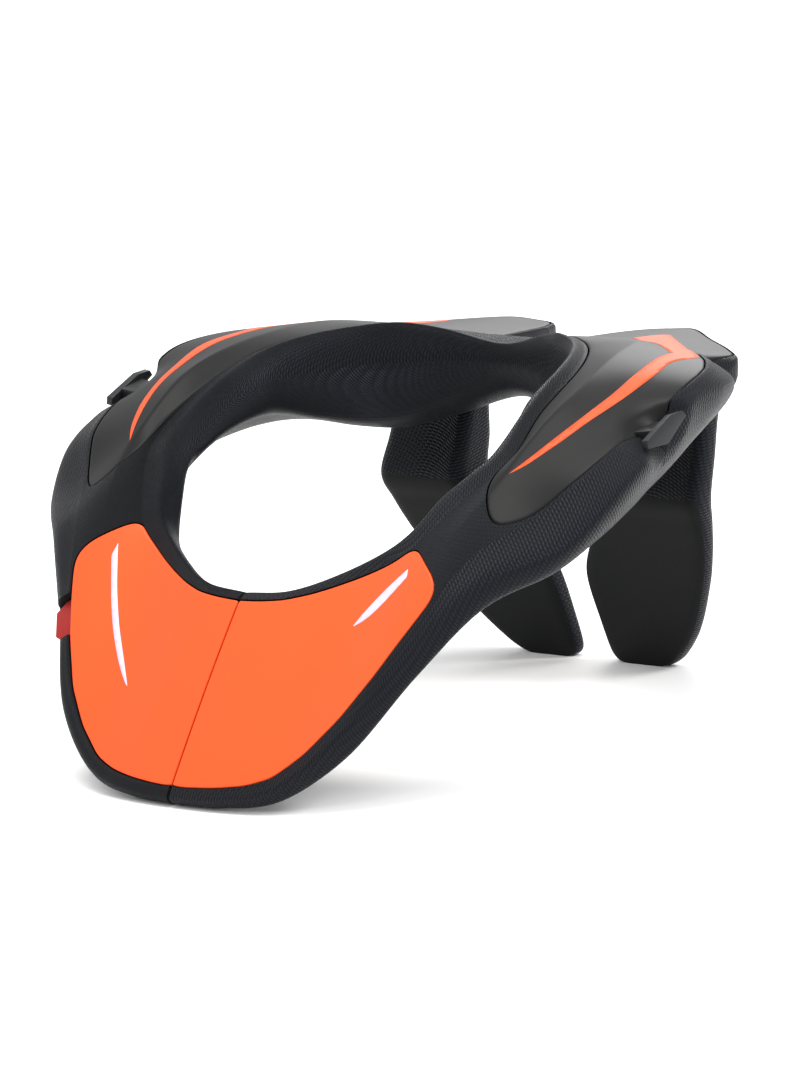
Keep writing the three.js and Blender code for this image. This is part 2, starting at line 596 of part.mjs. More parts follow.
// What is cut off `body` by laying an insert of this outline into it.
function insertAndBed(body, outline, frame, push, thickness) {
  const [origin, across, up, from, to] = frame;
  const core = body.translate(push.clone().multiplyScalar(-thickness).toArray());
  const deeper = body.translate(push.clone().multiplyScalar(-thickness - BED_GAP).toArray());
  const insert = body.intersect(prism(outline, origin, across, up, from, to)).subtract(core);
  const wide = prism(grownOutline(outline, SIDE_GAP), origin, across, up, from, to);
  return { insert: largestPiece(insert), bed: wide.subtract(deeper) };
}

const chestFrame = [chestFoot.clone().setX(0), ACROSS, CHEST_UP, -12, HEIGHT / 4];
const panel = insertAndBed(collar, panelOutline(), chestFrame, CHEST_OUT, PANEL_THICKNESS);
const shoulder = collar.add(rawStabiliser);
const planFrame = [GROUND, ACROSS, UP, 0, SKY];
const shell = insertAndBed(shoulder, shellOutline(), planFrame, new THREE.Vector3(0, 0, 1),
  SHELL_THICKNESS);

const lug = lugBody();
const lugSocket = lugBody(SEAT_GAP);
const tab = tabBody();
const tabSlot = tabBody(SEAT_GAP, true);

const scoop = lugScoop();
const bedsAndSockets = [panel.bed, shell.bed, scoop, lugSocket];
let foamCollar = collar.subtract(tabSlot);
for (const cut of bedsAndSockets) foamCollar = foamCollar.subtract(cut).subtract(mirrored(cut));
const stabiliser = largestPiece(
  rawStabiliser.subtract(collarClearance).subtract(shell.bed));
const leftShell = largestPiece(shell.insert.subtract(scoop).subtract(lugSocket));

// Materials
const foam = new THREE.MeshStandardMaterial({ color: 0x232427, roughness: 0.75, metalness: 0 });
const shellCoat = new THREE.MeshStandardMaterial({ color: 0x2b2c2e, roughness: 0.55, metalness: 0 });
const panelOrange = new THREE.MeshStandardMaterial({ color: 0xff6f2e, roughness: 0.5, metalness: 0 });
const rubber = new THREE.MeshStandardMaterial({ color: 0x1c1d1f, roughness: 0.6, metalness: 0 });
const redRubber = new THREE.MeshStandardMaterial({ color: 0xb8302a, roughness: 0.6, metalness: 0 });

const pieces = [["collar", largestPiece(foamCollar), foam]];
for (const [side, place] of [["left", (solid) => solid], ["right", mirrored]]) {
  pieces.push([`chest_panel_${side}`, place(panel.insert), panelOrange]);
  pieces.push([`shoulder_shell_${side}`, place(leftShell), shellCoat]);
  pieces.push([`rear_stabiliser_${side}`, place(stabiliser), foam]);
  pieces.push([`strap_lug_${side}`, place(lug), rubber]);
}
pieces.push(["pull_tab", tab, redRubber]);

// The whole brace is moved so that the middle of its base is the origin.
const overall = new THREE.Box3();
for (const [, solid] of pieces) {
  const { min, max } = solid.boundingBox();
  overall.expandByPoint(new THREE.Vector3(...min)).expandByPoint(new THREE.Vector3(...max));
}
const toOrigin = overall.getCenter(new THREE.Vector3()).setZ(overall.min.z).negate();

const neckBrace = new THREE.Group();
neckBrace.name = "neck_brace";
for (const [name, solid, material] of pieces) {
  const mesh = new THREE.Mesh(geometryOf(solid.translate(toOrigin.toArray())), material);
  mesh.name = name;
  neckBrace.add(mesh);
}

export default neckBrace;
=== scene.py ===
# %% [markdown]
# Motocross neck brace. The real one is a ring of moulded foam with a woven-look skin,
# dressed with smooth plastic shells and panels. This lesson lofts the foam from sections,
# lays the plates on it, cuts their beds, and then gives each piece its own material.

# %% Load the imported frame
import math

import bmesh
import bpy
import numpy as np
from mathutils import Matrix, Vector
from mathutils.bvhtree import BVHTree


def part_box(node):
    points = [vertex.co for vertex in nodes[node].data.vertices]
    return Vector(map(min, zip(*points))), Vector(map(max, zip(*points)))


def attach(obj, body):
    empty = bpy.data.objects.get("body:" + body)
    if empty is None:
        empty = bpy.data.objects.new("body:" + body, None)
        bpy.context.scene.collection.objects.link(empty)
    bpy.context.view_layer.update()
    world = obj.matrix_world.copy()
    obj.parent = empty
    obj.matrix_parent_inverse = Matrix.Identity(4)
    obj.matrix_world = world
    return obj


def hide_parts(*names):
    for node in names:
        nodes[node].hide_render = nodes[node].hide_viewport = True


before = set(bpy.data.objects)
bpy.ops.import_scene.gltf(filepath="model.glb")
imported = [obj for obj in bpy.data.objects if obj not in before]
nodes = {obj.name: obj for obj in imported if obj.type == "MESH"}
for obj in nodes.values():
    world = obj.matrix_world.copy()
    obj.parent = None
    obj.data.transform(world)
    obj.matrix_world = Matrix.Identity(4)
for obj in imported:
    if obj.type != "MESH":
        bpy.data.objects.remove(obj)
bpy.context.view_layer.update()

MM = 0.001
print("CAD nodes:", sorted(nodes))

# %% [markdown]
# The materials come before the pieces that wear them. Colours are given as they look on a
# screen and turned to the linear values that Blender works in.

# %% Three small helpers for materials
def linear(colour):
    """A hex sRGB colour as linear red, green, blue and alpha."""
    parts = [int(colour[k:k + 2], 16) / 255 for k in (0, 2, 4)]
    return [c / 12.92 if c <= 0.04045 else ((c + 0.055) / 1.055) ** 2.4 for c in parts] + [1]


def add(tree, kind, inputs=None, **settings):
    """One node with its settings. An input is a value, a socket or a node's first output."""
    node = tree.nodes.new("ShaderNode" + kind)
    for name, value in settings.items():
        setattr(node, name, value)
    for name, value in (inputs or {}).items():
        if isinstance(value, bpy.types.Node):
            value = value.outputs[0]
        if isinstance(value, bpy.types.NodeSocket):
            tree.links.new(value, node.inputs[name])
        else:
            node.inputs[name].default_value = value
    return node


def new_material(name, colour, roughness, specular):
    """A material, with its node tree and its shader."""
    material = bpy.data.materials.new(name)
    material.use_nodes = True
    tree = material.node_tree
    shader = tree.nodes["Principled BSDF"]
    shader.inputs["Base Color"].default_value = linear(colour)
    shader.inputs["Roughness"].default_value = roughness
    shader.inputs["Specular IOR Level"].default_value = specular
    material.diffuse_color = linear(colour)
    return material, tree, shader


print("half grey on a screen is", round(linear("808080")[0], 3), "of the light of white")

# %% [markdown]
# The foam is polyurethane, moulded with a closed skin that takes the mould's texture: rows of
# short raised dashes like woven cloth. The rows are 1.35 mm apart and a dash is 2.7 mm long.
# Each row is shifted by a part of a dash. The map on the foam is in millimetres, so a place
# in the pattern is the map divided by these lengths. An image could do it too, but would
# lose its sharpness close up.

# %% Polyurethane skin with a moulded weave
ROW, DASH, SHIFT = 1.35, 2.7, 0.37
DASH_BLUNTNESS = 0.45
WEAVE_DEPTH = 0.3


def hump(tree, value):
    """Zero at whole numbers and one half way between them."""
    part = add(tree, "Math", {0: value}, operation="FRACT")
    angle = add(tree, "Math", {0: part, 1: math.pi}, operation="MULTIPLY")
    return add(tree, "Math", {0: angle}, operation="SINE")


def weave_height(tree, source):
    """The height of the dashes, from zero to one, over a map in millimetres."""
    split = add(tree, "SeparateXYZ", {"Vector": source})
    across = add(tree, "Math", {0: split.outputs["Y"], 1: ROW}, operation="DIVIDE")
    row = add(tree, "Math", {0: across}, operation="FLOOR")
    shift = add(tree, "Math", {0: row, 1: SHIFT}, operation="MULTIPLY")
    dashes = add(tree, "Math", {0: split.outputs["X"], 1: DASH}, operation="DIVIDE")
    along = add(tree, "Math", {0: dashes, 1: shift}, operation="ADD")
    dash = add(tree, "Math", {0: hump(tree, along), 1: DASH_BLUNTNESS}, operation="POWER")
    return add(tree, "Math", {0: hump(tree, across), 1: dash}, operation="MULTIPLY")


foam, tree, shader = new_material("polyurethane_skin_moulded_weave", "151618",
                                  roughness=0.4, specular=0.14)
shader.inputs["Specular Tint"].default_value = linear("c8cfea")
height = weave_height(tree, add(tree, "UVMap", uv_map="weave"))
# The raised dashes are painted lighter and the hollows between them darker: painted highlight
# on the dashes and painted shade between them.
tone_and_painted_shade = add(tree, "Mix", {"Factor": height, "A": linear("0a0a0b"), "B": linear("1c1d1f")},
           data_type="RGBA")
tree.links.new(tone_and_painted_shade.outputs[2], shader.inputs["Base Color"])
bump = add(tree, "Bump", {"Height": height, "Strength": 1.0, "Distance": WEAVE_DEPTH * MM})
tree.links.new(bump.outputs[0], shader.inputs["Normal"])
print(foam.name, "has", len(tree.nodes), "nodes")

# %% [markdown]
# Where the mould is polished, as on the fronts of the lower legs, the same foam skin comes out
# smooth. It has only a fine grain, 0.4 mm across, that softens the light.

# %% Smooth polyurethane skin
GRAIN_DEPTH = 0.1


def fine_grain(tree, shader, size, strength):
    """Soften the light with a grain of the given size in millimetres."""
    place = add(tree, "TexCoord")
    grain = add(tree, "TexNoise", {"Vector": place.outputs["Object"],
                                   "Scale": 1 / (size * MM), "Detail": 2.0})
    bump = add(tree, "Bump", {"Height": grain, "Strength": strength,
                              "Distance": GRAIN_DEPTH * MM})
    tree.links.new(bump.outputs[0], shader.inputs["Normal"])


smooth_foam, tree, shader = new_material("polyurethane_skin_smooth", "0e0f10",
                                         roughness=0.55, specular=0.12)
fine_grain(tree, shader, size=0.4, strength=0.25)
print(smooth_foam.name, "has", len(tree.nodes), "nodes")

# %% [markdown]
# The shells and panels are injection-moulded polypropylene with a fine spark-eroded grain, a
# little over half a millimetre across. The orange is mixed from two close shades, in soft
# clouds as wide as a hand, so that it does not look dead flat.

# %% Shell and panel plastic
CLOUD = 83.3

shell_plastic, tree, shader = new_material("polypropylene_moulded_matte", "101011",
                                           roughness=0.42, specular=0.14)
fine_grain(tree, shader, size=5 / 9, strength=0.12)

panel_plastic, tree, shader = new_material("polypropylene_moulded_satin", "ef501a",
                                           roughness=0.45, specular=0.3)
place = add(tree, "TexCoord")
cloud = add(tree, "TexNoise", {"Vector": place.outputs["Object"],
                               "Scale": 1 / (CLOUD * MM), "Detail": 1.0})
tone_and_painted_shade = add(tree, "Mix", {"Factor": cloud, "A": linear("ed4d18"), "B": linear("f2541c")},
           data_type="RGBA")
tree.links.new(tone_and_painted_shade.outputs[2], shader.inputs["Base Color"])
fine_grain(tree, shader, size=2 / 3, strength=0.1)
print("plastics:", shell_plastic.name, panel_plastic.name)

# %% [markdown]
# The lugs are moulded nylon and the tab is soft silicone rubber. The stripes are
# screen-printed ink. The walls of the beds under the plates get painted shade: they are
# near black, darker than the foam skin, as the slit round each plate that the light hardly
# reaches. Plain values are enough for these, since the real ones are even.

# %% Nylon, rubber, ink and the beds
lug_plastic = new_material("nylon_moulded_matte", "1c1d1f", roughness=0.42, specular=0.3)[0]
tab_rubber = new_material("silicone_rubber_moulded", "931a14", roughness=0.5, specular=0.3)[0]
orange_print = new_material("screen_print_orange", "e04c1a", roughness=0.5, specular=0.3)[0]
white_print = new_material("screen_print_white", "d6c6dc", roughness=0.5, specular=0.3)[0]
# Painted shade: the bed walls are coloured darker than the foam skin, as the shade in the slit
# round each plate.
bed_painted_shade = new_material("polyurethane_bed_painted_shade", "0b0b0c", roughness=0.8, specular=0.15)[0]
print("materials:", [material.name for material in bpy.data.materials])

# %% [markdown]
# The collar is a closed skin stretched over sections that turn round the neck. It could be
# sculpted, but a table of sections keeps the same shape as the CAD solid, and smooth curves
# between the rows take away its facets. Lengths in the table are shares of these sizes.

# %% The collar's sizes and sections
NECK_HALF_WIDTH, NECK_LENGTH, HEIGHT, ARM_WIDTH = 91, 165, 147, 60
SLIT, SEAT_GAP = 0.8, 0.5
RAILS = ["crest", "edge", "chine", "base", "under", "wall", "inner", "roll"]
# A row holds the turn in degrees, how sharp the shell's ridge is, the rim's x, y and z, and
# for each rail in the order above its reach out from the rim and its height.
SECTIONS = [
    (-90, 0, (0, -0.485, 0.48),
     ((0.4, 0.268), (0.785, 0.048), (0.81, 0.022), (0.715, 0),
      (0.46, 0.06), (0.12, 0.21), (-0.19, 0.41), (-0.07, 0.488))),
    (-89, 0, (0.242, -0.476, 0.49),
     ((0.4, 0.277), (0.785, 0.056), (0.815, 0.028), (0.72, 0.004),
      (0.47, 0.066), (0.12, 0.215), (-0.19, 0.42), (-0.07, 0.502))),
    (-85, 0, (0.462, -0.43, 0.524),
     ((0.42, 0.305), (0.82, 0.088), (0.86, 0.06), (0.77, 0.026),
      (0.53, 0.11), (0.15, 0.26), (-0.19, 0.455), (-0.08, 0.546))),
    (-76, 0, (0.659, -0.376, 0.571),
     ((0.38, 0.41), (0.75, 0.238), (0.81, 0.19), (0.75, 0.135),
      (0.5, 0.2), (0.14, 0.36), (-0.19, 0.52), (-0.09, 0.606))),
    (-52, 0, (0.775, -0.345, 0.615),
     ((0.27, 0.55), (0.53, 0.455), (0.6, 0.405), (0.59, 0.335),
      (0.38, 0.35), (-0.08, 0.46), (-0.23, 0.585), (-0.12, 0.65))),
    (-30, 0.2, (0.88, -0.275, 0.695),
     ((0.23, 0.68), (0.46, 0.62), (0.64, 0.56), (0.59, 0.492),
      (0.28, 0.5), (-0.16, 0.58), (-0.26, 0.675), (-0.15, 0.72))),
    (-13, 0.6, (0.965, -0.2, 0.762),
     ((0.17, 0.768), (0.51, 0.69), (0.79, 0.625), (0.66, 0.553),
      (0.2, 0.58), (-0.22, 0.68), (-0.29, 0.725), (-0.13, 0.775))),
    (-3, 1, (1, -0.121, 0.81),
     ((0.11, 0.838), (0.65, 0.782), (0.87, 0.733), (0.66, 0.61),
      (0.12, 0.66), (-0.28, 0.735), (-0.28, 0.765), (-0.12, 0.818))),
    (0, 1.2, (0.956, -0.005, 0.884),
     ((0.2, 0.912), (0.77, 0.85), (0.93, 0.8), (0.64, 0.64),
      (0.06, 0.735), (-0.24, 0.79), (-0.2, 0.84), (-0.09, 0.893))),
    (2, 1.2, (0.934, 0.085, 0.925),
     ((0.22, 0.948), (0.825, 0.893), (0.9, 0.84), (0.6, 0.665),
      (0.03, 0.775), (-0.27, 0.81), (-0.25, 0.88), (-0.1, 0.938))),
    (6, 1, (0.895, 0.175, 0.953),
     ((0.22, 0.972), (0.905, 0.94), (0.95, 0.9), (0.62, 0.7),
      (0.02, 0.775), (-0.22, 0.8), (-0.2, 0.885), (-0.1, 0.968))),
    (11, 0.9, (0.81, 0.27, 0.971),
     ((0.26, 0.987), (0.92, 0.957), (1.02, 0.9), (0.64, 0.735),
      (0.03, 0.752), (-0.19, 0.765), (-0.17, 0.885), (-0.09, 0.985))),
    (20, 0.7, (0.67, 0.366, 0.98),
     ((0.36, 0.99), (0.79, 0.955), (1, 0.88), (0.7, 0.76),
      (0.12, 0.71), (-0.13, 0.74), (-0.15, 0.89), (-0.08, 0.993))),
    (40, 0.2, (0.484, 0.43, 0.985),
     ((0.3, 0.972), (0.6, 0.94), (0.72, 0.86), (0.56, 0.775),
      (0.2, 0.69), (-0.06, 0.74), (-0.11, 0.89), (-0.07, 0.997))),
    (64, 0, (0.3, 0.48, 0.968),
     ((0.18, 0.955), (0.4, 0.925), (0.46, 0.86), (0.4, 0.785),
      (0.18, 0.72), (-0.03, 0.775), (-0.09, 0.89), (-0.06, 0.975))),
    (90, 0, (0, 0.51, 0.935),
     ((0.18, 0.935), (0.34, 0.92), (0.4, 0.86), (0.34, 0.795),
      (0.16, 0.775), (0, 0.81), (-0.07, 0.885), (-0.05, 0.935))),
]
print("sections:", len(SECTIONS), "from", SECTIONS[0][0], "to", SECTIONS[-1][0], "degrees")

# %% [markdown]
# A rail joins the same corner of every section: from the chest slit round the left arm to
# the nape, and back round the right arm, which is its mirror image. The curve goes through
# every point, and its pace follows the gaps between them, so that it does not overshoot
# where they lie close together.

# %% Smooth rails
TINY = 1e-9


def through(points, places):
    """Points on the smooth curve through a row of points, at places counted in points."""
    points = np.asarray(points, float)
    ends = 2 * points[[0, -1]] - points[[1, -2]]
    p = np.vstack([ends[:1], points, ends[1:]])
    step = np.clip(np.floor(places).astype(int), 0, len(points) - 2)
    t = (np.asarray(places) - step)[:, None]
    a, b, c, d = (p[step + k] for k in range(4))
    gap = [np.maximum(np.sum((v - u) ** 2, axis=1), TINY)[:, None] ** 0.25
           for u, v in ((a, b), (b, c), (c, d))]
    m1 = ((b - a) / gap[0] - (c - a) / (gap[0] + gap[1]) + (c - b) / gap[1]) * gap[1]
    m2 = ((c - b) / gap[1] - (d - b) / (gap[1] + gap[2]) + (d - c) / gap[2]) * gap[1]
    return (b + m1 * t + (3 * (c - b) - 2 * m1 - m2) * t ** 2
            + (2 * (b - c) + m1 + m2) * t ** 3)


def rail_points(name):
    """One rail from the chest slit round the left arm and the nape to the slit again."""
    side = []
    for turn, ridge, (x, y, z), reaches in SECTIONS:
        point = [x * NECK_HALF_WIDTH, y * NECK_LENGTH, z * HEIGHT]
        if name != "rim":
            reach, height = reaches[RAILS.index(name)]
            angle = math.radians(turn)
            point[0] += math.cos(angle) * reach * ARM_WIDTH
            point[1] += math.sin(angle) * reach * ARM_WIDTH
            point[2] = height * HEIGHT
        side.append(point)
    side[0][0] = SLIT / 2
    side[-1][0] = 0
    other = [[-x, y, z] for x, y, z in side[-2::-1]]
    return np.array(side + other)


rails = {name: rail_points(name) for name in ["rim"] + RAILS}
print("rails:", len(rails), "points each:", len(rails["rim"]))

# %% [markdown]
# Each section runs from the rim over the top to the outer edge, then under the arm and up
# the neck side. The top is an arc that turns into two flats with a crease between them
# where the shoulder shell has its ridge.

# %% Rings of points round the arm
RINGS_PER_SECTION = 12
TOP_STEPS, FLANK_STEPS = 10, 8


def collar_rings():
    """Rings along the collar: the left arm, the nape and the right arm, slit to slit."""
    places = np.arange(0, len(rails["rim"]) - 1 + TINY, 1 / RINGS_PER_SECTION)
    at = {name: through(points, places) for name, points in rails.items()}
    rows = [row[1] for row in SECTIONS]
    ridge = np.interp(places, range(len(rails["rim"])), rows + rows[-2::-1])
    rings = []
    for i in range(len(places)):
        rim, crest, edge = (at[name][i] for name in ("rim", "crest", "edge"))
        pull = 2 * crest - (rim + edge) / 2
        ring = []
        for share in np.arange(0, 2, 1 / TOP_STEPS):
            t = share / 2
            arc = (1 - t) ** 2 * rim + 2 * t * (1 - t) * pull + t ** 2 * edge
            if share < 1:
                flat = rim + (crest - rim) * share
            else:
                flat = crest + (edge - crest) * (share - 1)
            ring.append(arc + (flat - arc) * ridge[i])
        knots = np.array([at[name][i] for name in RAILS[1:]] + [rim])
        ring += list(through(knots, np.arange(0, len(knots) - 1, 1 / FLANK_STEPS)))
        rings.append(ring)
    return np.array(rings)


rings = collar_rings()
low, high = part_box("collar")
shift_y = (low.y + high.y) / 2 / MM - (rings[..., 1].min() + rings[..., 1].max()) / 2
TO_FRAME = np.array([0, shift_y, low.z / MM - min(0, rings[..., 2].min())])
print("collar rings:", rings.shape[:2], "moved back by", round(shift_y, 2), "mm")

# %% [markdown]
# A loft is made by bridging one ring of edges to the next. The UV map holds millimetres
# along and round the arm, so that a weave drawn on it keeps its size and follows the form.
# The seam of that map is put on the underside, where it is not seen.

# %% A loft with a map in millimetres
def soften(bm, verts):
    """Move each vertex half way to the middle of its neighbours."""
    bmesh.ops.smooth_vert(bm, verts=verts, factor=0.5, use_axis_x=True, use_axis_y=True,
                          use_axis_z=True)


def loft(rings, seam, crease=None):
    """A closed skin over rings of points, in metres. The crease is not softened."""
    rings = np.roll(rings, -seam, axis=1)
    count = rings.shape[1]
    bm = bmesh.new()
    loops = []
    for ring in rings:
        verts = [bm.verts.new(Vector(p) * MM) for p in ring]
        loops.append([bm.edges.new((verts[k - 1], verts[k])) for k in range(count)])
    for before, after in zip(loops, loops[1:]):
        bmesh.ops.bridge_loops(bm, edges=before + after)
    bmesh.ops.holes_fill(bm, edges=loops[0] + loops[-1], sides=0)
    bmesh.ops.recalc_face_normals(bm, faces=bm.faces[:])
    closed = np.concatenate([rings, rings[:, :1]], axis=1)
    around = np.cumsum(np.linalg.norm(np.diff(closed, axis=1), axis=2), axis=1)
    around = np.concatenate([np.zeros((len(rings), 1)), around], axis=1)
    along = np.cumsum(np.linalg.norm(np.diff(rings, axis=0), axis=2), axis=0)
    along = np.concatenate([np.zeros((1, count)), along], axis=0)
    uv = bm.loops.layers.uv.new("weave")
    bm.verts.index_update()
    for face in bm.faces:
        ks = [loop.vert.index % count for loop in face.loops]
        wraps = max(ks) - min(ks) > count / 2
        for loop, k in zip(face.loops, ks):
            i = loop.vert.index // count
            loop[uv].uv = (around[i, count if wraps and k == 0 else k], along[i, k])
    soft = [v for v in bm.verts if crease is None or v.index % count != (crease - seam) % count]
    soften(bm, soft)
    return bm


def add_object(name, bm, materials=()):
    """A bmesh as an object that stands at the origin."""
    mesh = bpy.data.meshes.new(name)
    bm.to_mesh(mesh)
    bm.free()
    mesh.shade_smooth()
    piece = bpy.data.objects.new(name, mesh)
    bpy.context.scene.collection.objects.link(piece)
    for material in materials:
        mesh.materials.append(material)
    return piece

# %% [markdown]
# Each arm has a dent behind its strap lug, where the loop of the strap goes. It could be cut
# out, but the real one has a soft rim, so the skin is pressed in from the side instead: most
# in the middle, not at all at the rim. A copy of the skin, grown by the gap that touching
# pieces keep, is kept to cut the stabilisers' seats.

# %% The collar, with its dents
HOLLOW_DEPTH, HOLLOW_WIDTH, HOLLOW_HEIGHT = 7.5, 38, 30
HOLLOW_MIDDLE = (3.8, 125.8)
HOLLOW_FROM, HOLLOW_FADE = 122, 12
HOLLOW_SOFTNESS = 1.5


def hollow(point):
    """Press a point of the arm's outer side in behind its lug."""
    y, z = point[1] - HOLLOW_MIDDLE[0], point[2] - HOLLOW_MIDDLE[1]
    far = (2 * y / HOLLOW_WIDTH) ** 2 + (2 * z / HOLLOW_HEIGHT) ** 2
    outside = min(max((abs(point[0]) - HOLLOW_FROM) / HOLLOW_FADE, 0), 1)
    press = HOLLOW_DEPTH * max(1 - far, 0) ** HOLLOW_SOFTNESS * outside
    return point - np.array([math.copysign(press, point[0]), 0, 0])


collar_bm = loft(rings + TO_FRAME, seam=2 * TOP_STEPS + 3 * FLANK_STEPS, crease=TOP_STEPS)
for v in collar_bm.verts:
    v.co = hollow(np.array(v.co) / MM) * MM
collar_tree = BVHTree.FromBMesh(collar_bm)
grown_bm = collar_bm.copy()
grown_bm.normal_update()
for v in grown_bm.verts:
    v.co += v.normal * SEAT_GAP * MM
collar = add_object("foam_collar", collar_bm, [foam])
print("collar:", len(collar.data.polygons), "faces")

# %% [markdown]
# Behind each shoulder a flat shelf of foam carries the shell's rear part, and a leg goes
# down the wearer's back from it. Both are lofts too: the shelf from upright slices, the
# leg from level ones. One smooth curve through the rows keeps the knee soft.

# %% The stabiliser's sizes and sections
REAR_HALF_WIDTH, REAR_LENGTH, SHELF_DEPTH = 108, 60, 13
SPAR_SPREAD, SPAR_KNEE_Y, SPAR_LEAN, SPAR_THICKNESS, SPAR_CORNER = 84.5, 92, 30, 13, 0.38
# A row holds x, y and z of the shelf's root and of its rear edge, as shares of the sizes.
SHELF_SECTIONS = [
    ((0.13, 0.13, 0.931), (0.17, 0.78, 0.911)),
    ((0.2, 0.08, 0.94), (0.225, 0.965, 0.908)),
    ((0.28, 0.02, 0.95), (0.33, 1, 0.912)),
    ((0.4, -0.04, 0.961), (0.445, 0.975, 0.918)),
    ((0.6, -0.2, 0.975), (0.67, 0.68, 0.92)),
    ((0.8, -0.33, 0.976), (0.9, 0.37, 0.923)),
    ((0.93, -0.36, 0.965), (1, 0.2, 0.92)),
    ((0.97, -0.3, 0.935), (1.02, 0.04, 0.895)),
]
# A row holds the leg's height, its inner and outer side, its lean and the two thicknesses.
SPAR_SECTIONS = [
    (0, 0.17, 0.42, 0.97, 0.36, 0.35),
    (0.012, 0.125, 0.48, 0.95, 0.52, 0.5),
    (0.035, 0.105, 0.54, 0.91, 0.58, 0.56),
    (0.115, 0.1, 0.675, 0.77, 0.66, 0.6),
    (0.265, 0.115, 0.84, 0.5, 0.8, 0.62),
    (0.355, 0.2, 0.915, 0.33, 1, 0.66),
    (0.45, 0.35, 0.97, 0.13, 1.35, 0.85),
    (0.53, 0.465, 1, 0, 1.7, 1),
    (0.625, 0.475, 0.985, 0.2, 1.5, 0.95),
    (0.735, 0.49, 0.97, 0.41, 1.25, 0.9),
    (0.86, 0.5, 0.975, 0.6, 1.3, 0.95),
]
print("rows for the shelf and the leg:", len(SHELF_SECTIONS), len(SPAR_SECTIONS))

# %% [markdown]
# A slice of the shelf goes from its root at the collar over the flat top, round the rear
# edge and back along the underside. The mould's draft leans its faces by a hair, so that
# the part comes out of the mould.

# %% Rings of the shelf
SHELF_RINGS = 50
EDGE_RADIUS, DRAFT = 2.5, 0.8
# The rear edge's points: how far in, and how far from the top or the bottom, in radii.
TOP_EDGE = [(0.4, 0), (0, 0.5)]
BOTTOM_EDGE = [(0, 2), (0.8, 0.6), (3, 0)]
ROOT_DEPTH = 1.3
SHELF_STEPS = [8, 8, 1, 3, 2, 2, 14, 6]


def divided(ring, steps):
    """The ring with each of its sides divided into equal steps."""
    ring = np.asarray(ring)
    after = np.roll(ring, -1, axis=0)
    return np.concatenate([a + (b - a) * np.arange(n)[:, None] / n
                           for a, b, n in zip(ring, after, steps)])


def shelf_rings():
    """Upright slices of the left shelf, from the nape outward."""
    nape = rails["rim"][len(SECTIONS) - 1][1]
    size = np.array([REAR_HALF_WIDTH, REAR_LENGTH, HEIGHT])
    places = np.linspace(0, len(SHELF_SECTIONS) - 1, SHELF_RINGS)
    roots, rears = (through(np.array([row[k] for row in SHELF_SECTIONS]) * size + [0, nape, 0],
                            places) for k in (0, 1))
    rings = []
    for i, (root, rear) in enumerate(zip(roots, rears)):
        back = (rear - root) * [1, 1, 0]
        back /= np.linalg.norm(back)
        end_draft = DRAFT * (1 - 2 * i / (len(roots) - 1))

        def at(base, along, down):
            point = base - back * (along + DRAFT * down / SHELF_DEPTH)
            return point + [end_draft * down / SHELF_DEPTH, 0, -down]

        ring = [root, (root + rear) / 2]
        ring += [at(rear, a * EDGE_RADIUS, d * EDGE_RADIUS) for a, d in TOP_EDGE]
        ring += [at(rear, a * EDGE_RADIUS, SHELF_DEPTH - d * EDGE_RADIUS)
                 for a, d in BOTTOM_EDGE]
        ring.append(at(root, 0, ROOT_DEPTH * SHELF_DEPTH))
        rings.append(divided(ring, SHELF_STEPS))
    return np.array(rings)


shelf_bm = loft(shelf_rings() + TO_FRAME, seam=30)
shelf_tree = BVHTree.FromBMesh(shelf_bm)
print("shelf:", len(shelf_bm.faces), "faces")

# %% [markdown]
# A level slice of the leg is a long box with rounded corners. Its two ends differ in
# thickness, because the leg is thicker on its inner side.

# %% Rings of the leg
SPAR_RINGS = 90
CORNER_TURNS = (0, 30, 60, 90)
SPAR_STEPS = 2 * [1, 1, 1, 14, 1, 1, 1, 4]


def spar_rings():
    """Level slices of the left leg, from its foot up."""
    rows = np.array(SPAR_SECTIONS)
    level = np.linspace(0, len(rows) - 1, SPAR_RINGS)
    rings = []
    for z, inner, outer, lean, inner_thick, outer_thick in through(rows, level):
        front = SPAR_KNEE_Y + lean * SPAR_LEAN
        left, right = inner * SPAR_SPREAD, outer * SPAR_SPREAD
        radius = SPAR_CORNER * outer_thick * SPAR_THICKNESS
        corners = [(right, front + outer_thick * SPAR_THICKNESS, 0),
                   (left, front + inner_thick * SPAR_THICKNESS, 90), (left, front, 180),
                   (right, front, 270)]
        ring = []
        for x, y, start in corners:
            cx = x + (radius if x == left else -radius)
            cy = y + (radius if y == front else -radius)
            for turn in CORNER_TURNS:
                angle = math.radians(start + turn)
                ring.append([cx + radius * math.cos(angle), cy + radius * math.sin(angle),
                             z * HEIGHT])
        rings.append(divided(ring, SPAR_STEPS))
    return np.array(rings)


spar_bm = loft(spar_rings() + TO_FRAME, seam=10)
print("leg:", len(spar_bm.faces), "faces")

# %% [markdown]
# The mould joins shelf and leg in one piece of foam, and gives it a seat for the collar. Both
# are solids, so Blender can join them and cut the seat, and the edge between them stays
# as crisp as the real one. A cut may leave loose crumbs, which are dropped.

# %% Join and cut solids
def combine(piece, other, operation):
    """Join two solids or cut one with the other, with Blender's Manifold solver."""
    change = piece.modifiers.new("combine", "BOOLEAN")
    change.object = other
    change.operation = operation
    change.solver = "MANIFOLD"
    change.material_mode = "TRANSFER"
    graph = bpy.context.evaluated_depsgraph_get()
    graph.update()
    result = bpy.data.meshes.new_from_object(piece.evaluated_get(graph))
    piece.modifiers.remove(change)
    old = piece.data
    piece.data = result
    bpy.data.meshes.remove(old)


def groups(items, neighbours):
    """The items, vertices or faces, in sets that hang together."""
    left, found = set(items), []
    while left:
        group, waiting = set(), [left.pop()]
        while waiting:
            item = waiting.pop()
            group.add(item)
            for other in neighbours(item):
                if other in left:
                    left.remove(other)
                    waiting.append(other)
        found.append(group)
    return found


